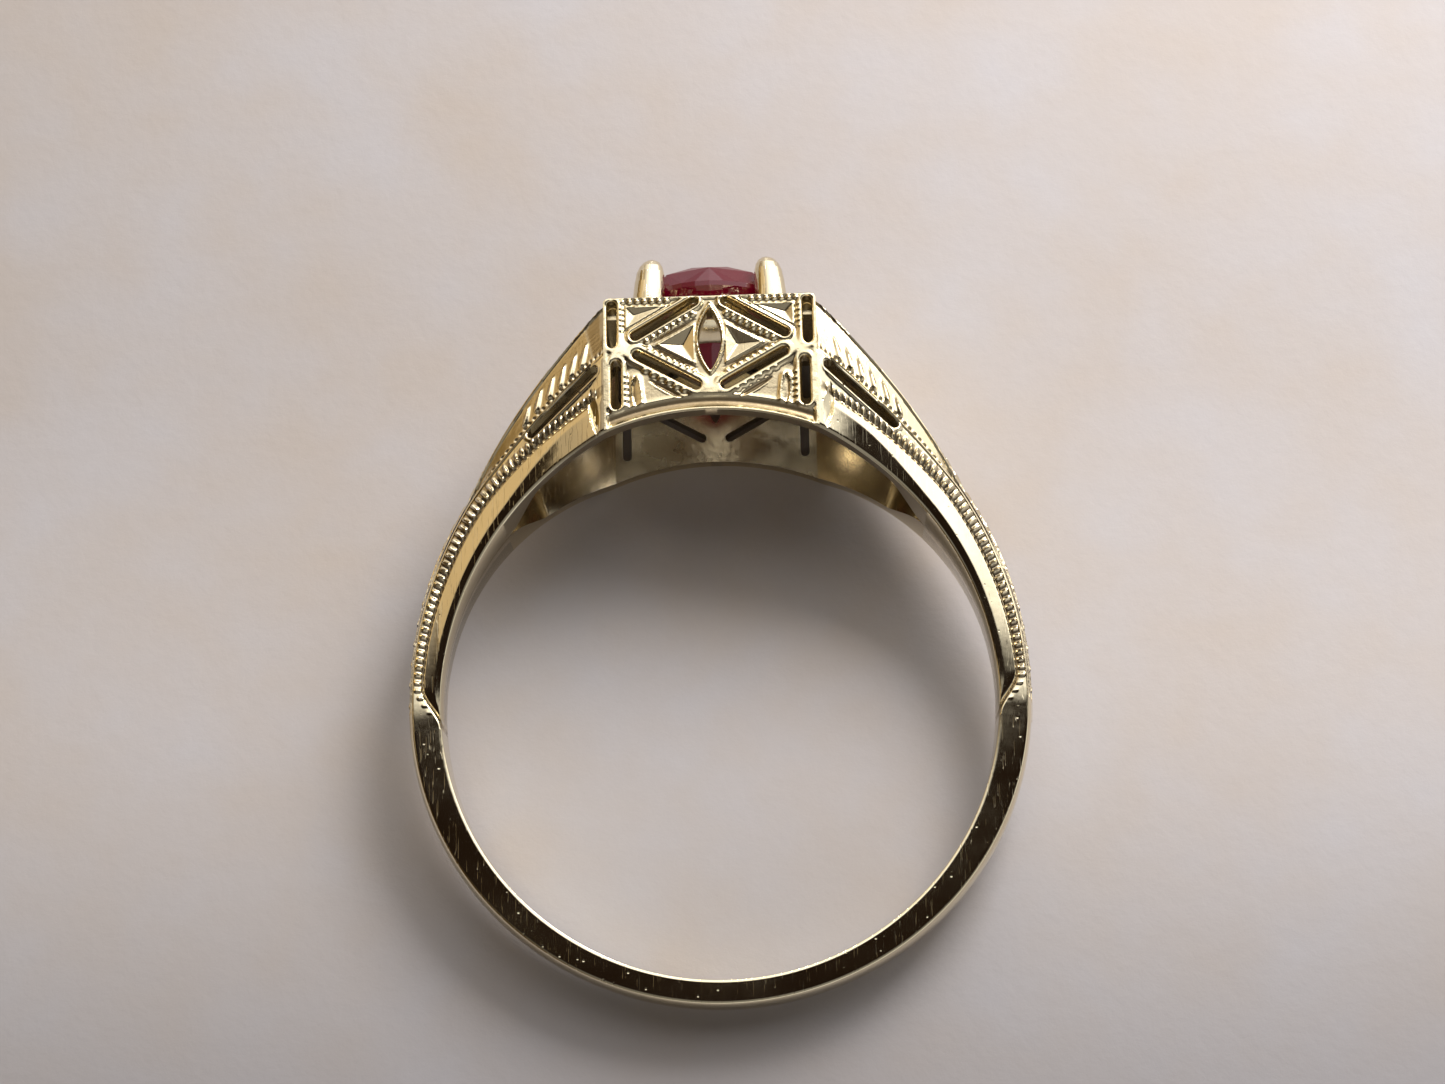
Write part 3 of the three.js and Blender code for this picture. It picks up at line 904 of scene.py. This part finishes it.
def make_lower_shank():
    thick = SHANK_SIDE - FINGER
    bm = bmesh.new()
    x, y = around(1.0, SEAM - SEAM_LAP)
    verts = [bm.verts.new((x * (FINGER + r), y * (FINGER + r), z)) for z, r in shank_section(thick)]
    edges = [bm.edges.new(pair) for pair in zip(verts, verts[1:] + verts[:1])]
    turn = math.radians(360 - 2 * (SEAM - SEAM_LAP))
    bmesh.ops.spin(bm, geom=verts + edges, cent=(0, 0, 0), axis=(0, 0, -1), angle=turn, steps=150,
                   use_duplicate=False)
    # the hoop thins from its seams to the bottom
    for vert in bm.verts:
        radius = math.hypot(vert.co.x, vert.co.y)
        side = abs(vert.co.x) / radius
        outside = SHANK_BASE + (SHANK_SIDE - SHANK_BASE) * side**2
        share = (radius - FINGER) / thick
        new = FINGER + share * (outside - FINGER)
        vert.co.x *= new / radius
        vert.co.y *= new / radius
    bmesh.ops.holes_fill(bm, edges=[e for e in bm.edges if e.is_boundary])
    bmesh.ops.recalc_face_normals(bm, faces=bm.faces)
    return finish_piece("lower_shank_polished", bm, polished_gold, "polished_white_gold", "lower_shank")


make_lower_shank()

# %% [markdown]
# ## Top plate, seat and prongs
#
# The top plate is one more struck sheet, bored for the stone. The seat under the stone is turned
# on a lathe from a ring of wire, so its profile is spun. Each claw is a piece of round wire, filed
# to a rounded tip: a disc is extruded ring by ring and smoothed by subdivision.

# %% Top plate
BEAD_TURN = 5.0    # degrees between the beads round the stone
RAY_TURN = 15.0    # degrees between the engraved rays


def plate_front(u, v):
    x, z = HEAD_X * (2 * u - 1), plate_high.z * (2 * v - 1)
    radius = np.hypot(x, z)
    turn = np.degrees(np.arctan2(z, x))
    beads = np.abs((turn / BEAD_TURN) % 1 - 0.5) * math.radians(BEAD_TURN) * radius
    milgrain = dome(np.hypot(beads, radius - STONE - 0.2) / 0.1)
    edge = np.minimum(HEAD_X - np.abs(x), plate_high.z - np.abs(z))
    rays = np.abs((turn / RAY_TURN) % 1 - 0.5) * 2
    field = smooth(0.35, 0.45, radius - STONE) * smooth(0.12, 0.2, edge)
    height = -0.05 * field * (1 + rays) + 0.05 * milgrain - 0.05
    height = height + 0.05 * smooth(0.12, 0.05, edge) - soft_edge(np.clip(edge, 0, None), 0.05)
    place_y = HEAD_TOP + height - round_top(HEAD_X - np.abs(x))
    return np.column_stack([x, place_y, z]), smooth(-0.06, -0.14, height) * 0.7


def plate_back(u, v):
    x, z = HEAD_X * (2 * u - 1), plate_high.z * (2 * v - 1)
    return np.column_stack([x, np.full(len(u), plate_low.y), z])


def plate_bore(uv):
    """Distance outside the bore for the stone's seat."""
    return np.hypot(HEAD_X * (2 * uv[:, 0] - 1), plate_high.z * (2 * uv[:, 1] - 1)) - STONE


bm = struck_sheet(160, 120, plate_front, plate_back, plate_bore)
finish_piece("top_plate_chased", bm, chased_gold, "chased_white_gold", "top_plate")

# %% Stone seat
seat_low, seat_high = span("stone_seat")
CULET = stone_low.y
GIRDLE = 12.88     # height of the stone's widest part


def cone_radius(y):
    """Radius of the stone's pavilion at a height."""
    return STONE * (y - CULET) / (GIRDLE - 0.06 - CULET)


def turn_ring(profile, steps):
    """Spin a closed profile of (radius, height) pairs round the stone's axis."""
    bm = bmesh.new()
    verts = [bm.verts.new((radius, height, 0)) for radius, height in profile]
    edges = [bm.edges.new(pair) for pair in zip(verts, verts[1:] + verts[:1])]
    bmesh.ops.spin(bm, geom=verts + edges, cent=(0, 0, 0), axis=(0, 1, 0), angle=2 * math.pi,
                   steps=steps, use_merge=True)
    bmesh.ops.recalc_face_normals(bm, faces=bm.faces)
    return bm


def make_seat():
    outside = seat_high.x
    low, top = seat_low.y, seat_high.y
    foot, mouth = cone_radius(low), cone_radius(top)
    profile = [
        (foot + 0.06, low + 0.04), (foot + 0.1, low), (foot + 0.26, low), (foot + 0.32, low + 0.05),
        (outside - 0.04, plate_low.y), (outside, plate_low.y + 0.06), (outside, top - 0.05),
        (outside - 0.05, top), (mouth + 0.1, top), (mouth + 0.05, top - 0.04),
    ]
    ring = turn_ring(profile, 72)
    return finish_piece("stone_seat_turned", ring, polished_gold, "polished_white_gold", "stone_seat")


make_seat()


# %% Prongs
TIP_SHARE = 0.72   # of a claw's height, where its rounded tip begins


def make_prong(name):
    """A claw: a round wire raised ring by ring from its foot, leaning over the stone at its tip.

    Each ring is its share of the claw's height, its radius, and how far it leans over the stone.
    """
    low, high = span(name)
    middle = (low + high) / 2
    inward = Vector((-middle.x, 0, -middle.z)).normalized()
    shares = (0, 0.03, 0.25, 0.5, TIP_SHARE)
    body = [(share, 0.54 - 0.15 * share + 0.03 * math.sin(math.pi * share)) for share in shares]
    turns = np.radians((25, 45, 62, 76, 86))
    tip = [(TIP_SHARE + (1 - TIP_SHARE) * math.sin(a), 0.43 * math.cos(a)) for a in turns]
    rings = [(share, radius, 0.16 * share**2 - 0.06) for share, radius in body + tip]
    bm = bmesh.new()
    lying = Matrix.Rotation(math.radians(-90), 4, "X")
    bmesh.ops.create_circle(bm, cap_ends=True, radius=1.0, segments=12, matrix=lying)
    top = list(bm.faces)
    for index, (share, radius, lean) in enumerate(rings):
        if index:
            made = bmesh.ops.extrude_face_region(bm, geom=top)["geom"]
            top = [item for item in made if isinstance(item, bmesh.types.BMFace)]
        centre = Vector((middle.x, low.y + share * (high.y - low.y), middle.z)) + inward * lean
        old = top[0].calc_center_median()
        for vert in top[0].verts:
            vert.co = centre + (vert.co - old).normalized() * radius
    bmesh.ops.recalc_face_normals(bm, faces=bm.faces)
    piece = finish_piece(name + "_claw", bm, polished_gold, "polished_white_gold", name)
    rounding = piece.modifiers.new("rounding", "SUBSURF")
    rounding.levels = rounding.render_levels = 3
    return piece


for corner in ("front_right", "back_right", "back_left", "front_left"):
    make_prong(corner + "_prong")

# %% [markdown]
# ## The stone
#
# A lapidary grinds flat facets in rings. Their corners lie on a few circles, so the stone is the
# convex hull of those corners: the table, the crown's mains, the girdle and the culet.

# %% Cut the ruby
def make_ruby():
    rings = [   # height, radius, corners, turn in degrees
        (stone_high.y, 1.45, 8, 22.5),           # table
        (stone_high.y - 0.22, 1.92, 8, 0.0),     # crown mains
        (GIRDLE + 0.1, STONE, 32, 0.0),
        (GIRDLE - 0.05, STONE, 32, 0.0),
        (CULET + 0.85, 0.98, 8, 0.0),            # pavilion mains
        (CULET, 0.05, 8, 22.5),
    ]
    bm = bmesh.new()
    for height, radius, count, turn in rings:
        made = bmesh.ops.create_circle(bm, cap_ends=False, radius=radius, segments=count)["verts"]
        spin = Matrix.Rotation(math.radians(turn), 3, "Y") @ Matrix.Rotation(math.radians(90), 3, "X")
        bmesh.ops.rotate(bm, cent=(0, 0, 0), matrix=spin, verts=made)
        bmesh.ops.translate(bm, vec=(0, height, 0), verts=made)
    hull = bmesh.ops.convex_hull(bm, input=bm.verts)
    spare = [g for g in hull["geom_interior"] + hull["geom_unused"] if isinstance(g, bmesh.types.BMVert)]
    bmesh.ops.delete(bm, geom=spare, context="VERTS")
    bmesh.ops.dissolve_limit(bm, angle_limit=math.radians(1.0), verts=bm.verts, edges=bm.edges)
    bmesh.ops.recalc_face_normals(bm, faces=bm.faces)
    piece = finish_piece("ruby_cut", bm, ruby, "ruby", "ruby")
    piece.data.shade_flat()
    return piece


make_ruby()

# %% [markdown]
# ## Cloth, light and camera
#
# The ring lies on a brushed cotton cloth, on the back of its head and the flank of its shank, so
# the cloth dips a little towards the head. Polished metal shows the room more than itself, so the
# room comes with it: a bright window wall beyond the head, a dark ceiling, pale walls, and a lamp.

# %% Cotton
# Brushed cotton: pale, quite dull, faintly mottled, with a short nap that takes the light unevenly.
MOTTLE_SIZE = 7.0   # mm
NAP_SIZE = 0.5      # mm, coarser than real fibres so that it shows
CLOTH_HALF = 90.0   # mm, half the cloth's side


def cotton_material():
    material, tree, shader = new_material("brushed_cotton_cloth", Roughness=0.95)
    place = node(tree, "ShaderNodeTexCoord").outputs["Object"]
    cloud = node(tree, "ShaderNodeTexNoise", [("Vector", place)],
                 sockets={"Scale": 1 / (MOTTLE_SIZE * MM), "Detail": 3.0, "Roughness": 0.6})
    spread = node(tree, "ShaderNodeMapRange", [("Value", cloud.outputs["Fac"])],
                  sockets={"From Min": 0.3, "From Max": 0.7})
    tone = node(tree, "ShaderNodeMix", [("Factor", spread.outputs["Result"])], data_type="RGBA",
                sockets={"A": colour("#B2A9A3"), "B": colour("#B3B0B3")})
    nap = node(tree, "ShaderNodeTexNoise", [("Vector", place)],
               sockets={"Scale": 1 / (NAP_SIZE * MM), "Detail": 4.0, "Roughness": 0.65})
    plain = tone.outputs["Result"]
    flecks = node(tree, "ShaderNodeMix", [("Factor", nap.outputs["Fac"]), ("A", plain)],
                  data_type="RGBA", blend_type="OVERLAY", sockets={"B": colour("#8C8683")})
    flecked = node(tree, "ShaderNodeMix", [("A", plain), ("B", flecks.outputs["Result"])],
                   data_type="RGBA", sockets={"Factor": 0.1})
    # Painted shade: the cloth's colour is painted darker and cooler towards -Y, away from the window light.
    along = node(tree, "ShaderNodeSeparateXYZ", [("Vector", place)]).outputs["Y"]
    shade = node(tree, "ShaderNodeMapRange", [("Value", along)], interpolation_type="SMOOTHSTEP",
                 sockets={"From Min": 2 * MM, "From Max": -16 * MM, "To Max": 0.6})
    shaded = node(tree, "ShaderNodeMix",
                  [("Factor", shade.outputs["Result"]), ("A", flecked.outputs["Result"])],
                  data_type="RGBA", sockets={"B": colour("#828289")})   # cooler away from the window
    tree.links.new(shaded.outputs["Result"], shader.inputs["Base Color"])
    fluff = node(tree, "ShaderNodeBump", [("Height", nap.outputs["Fac"])],
                 sockets={"Strength": 0.15, "Distance": 0.1 * MM})
    tree.links.new(fluff.outputs["Normal"], shader.inputs["Normal"])
    return material


# %% Lay the cloth
def make_cloth():
    bm = bmesh.new()
    bmesh.ops.create_grid(bm, x_segments=60, y_segments=60, size=CLOTH_HALF)
    back = cad_low.z / MM
    for vert in bm.verts:
        share = float(smooth(12.0, -14.0, vert.co.y))
        vert.co.z = back - 0.02 + (-SHANK_Z - back) * share
    bmesh.ops.scale(bm, vec=(MM, MM, MM), verts=bm.verts)
    mesh = bpy.data.meshes.new("cloth")
    bm.to_mesh(mesh)
    bm.free()
    cloth = bpy.data.objects.new("cloth", mesh)
    scene.collection.objects.link(cloth)
    mesh.shade_smooth()
    mesh.materials.append(cotton_material())
    print("cloth:", len(mesh.polygons), "faces")


make_cloth()

# %% Light
def make_room():
    """A bright window wall beyond the head, a dark ceiling, pale walls and a warm left side."""
    world = bpy.data.worlds.new("soft_room")
    scene.world = world
    world.use_nodes = True
    tree = world.node_tree
    direction = node(tree, "ShaderNodeTexCoord").outputs["Generated"]
    parts = node(tree, "ShaderNodeSeparateXYZ", [("Vector", direction)]).outputs
    window = node(tree, "ShaderNodeMapRange", [("Value", parts["Y"])], interpolation_type="SMOOTHSTEP",
                  sockets={"From Min": 0.19, "From Max": 0.36})
    walls = node(tree, "ShaderNodeMapRange", [("Value", parts["Z"])], interpolation_type="SMOOTHSTEP",
                 sockets={"From Min": 0.25, "From Max": 0.55, "To Min": 0.42, "To Max": 0.0})
    behind = node(tree, "ShaderNodeMapRange", [("Value", parts["Y"])], interpolation_type="SMOOTHSTEP",
                  sockets={"From Min": 0.0, "From Max": -0.35, "To Min": 0.0, "To Max": 0.13})
    room = node(tree, "ShaderNodeMath", [(0, behind.outputs["Result"]), (1, walls.outputs["Result"])],
                operation="MAXIMUM")
    light = node(tree, "ShaderNodeMath", [(0, window.outputs["Result"]), (1, room.outputs["Value"])],
                 operation="MAXIMUM")
    side = node(tree, "ShaderNodeMapRange", [("Value", parts["X"])], interpolation_type="SMOOTHSTEP",
                sockets={"From Min": -0.75, "From Max": 0.1})
    tone = node(tree, "ShaderNodeMix", [("Factor", side.outputs["Result"])], data_type="RGBA",
                sockets={"A": colour("#66522E"), "B": colour("#FFFDFA")})
    lit = node(tree, "ShaderNodeMix", [("Factor", light.outputs["Value"]), ("B", tone.outputs["Result"])],
               data_type="RGBA", sockets={"A": colour("#150E09")})
    # the camera itself sees a plain pale wall
    seen = node(tree, "ShaderNodeLightPath").outputs["Is Camera Ray"]
    shown = node(tree, "ShaderNodeMix", [("Factor", seen), ("A", lit.outputs["Result"])], data_type="RGBA",
                 sockets={"B": colour("#958F8B")})
    background = tree.nodes["Background"]
    tree.links.new(shown.outputs["Result"], background.inputs["Color"])
    background.inputs["Strength"].default_value = 2.05


def area_light(name, place, width, height, power, tint):
    """A soft rectangular light at a place in millimetres, turned towards the ring."""
    data = bpy.data.lights.new(name, "AREA")
    data.shape = "RECTANGLE"
    data.size = width * MM
    data.size_y = height * MM
    data.energy = power
    data.color = colour(tint)[:3]
    lamp = bpy.data.objects.new(name, data)
    scene.collection.objects.link(lamp)
    lamp.location = Vector(place) * MM
    lamp.rotation_euler = (-lamp.location).to_track_quat("-Z", "Y").to_euler()


make_room()
area_light("window", (42, 66, 52), 44, 44, 0.095, "#FFFBF8")
area_light("lamp", (-90, 50, 60), 90, 60, 0.009, "#FFE9C4")
print("lights:", [light.name for light in bpy.data.lights])

# %% Camera
camera_data = bpy.data.cameras.new("camera")
camera_data.sensor_width = 36.0
camera_data.lens = 62.9
camera_data.clip_start = 0.005
camera_data.clip_end = 5.0
camera = bpy.data.objects.new("camera", camera_data)
scene.collection.objects.link(camera)
camera.location = Vector((1.72, -15.6, 76.2)) * MM
camera.rotation_euler = [math.radians(a) for a in (15.18, 1.49, -1.25)]
scene.camera = camera
scene.view_settings.view_transform = "Standard"
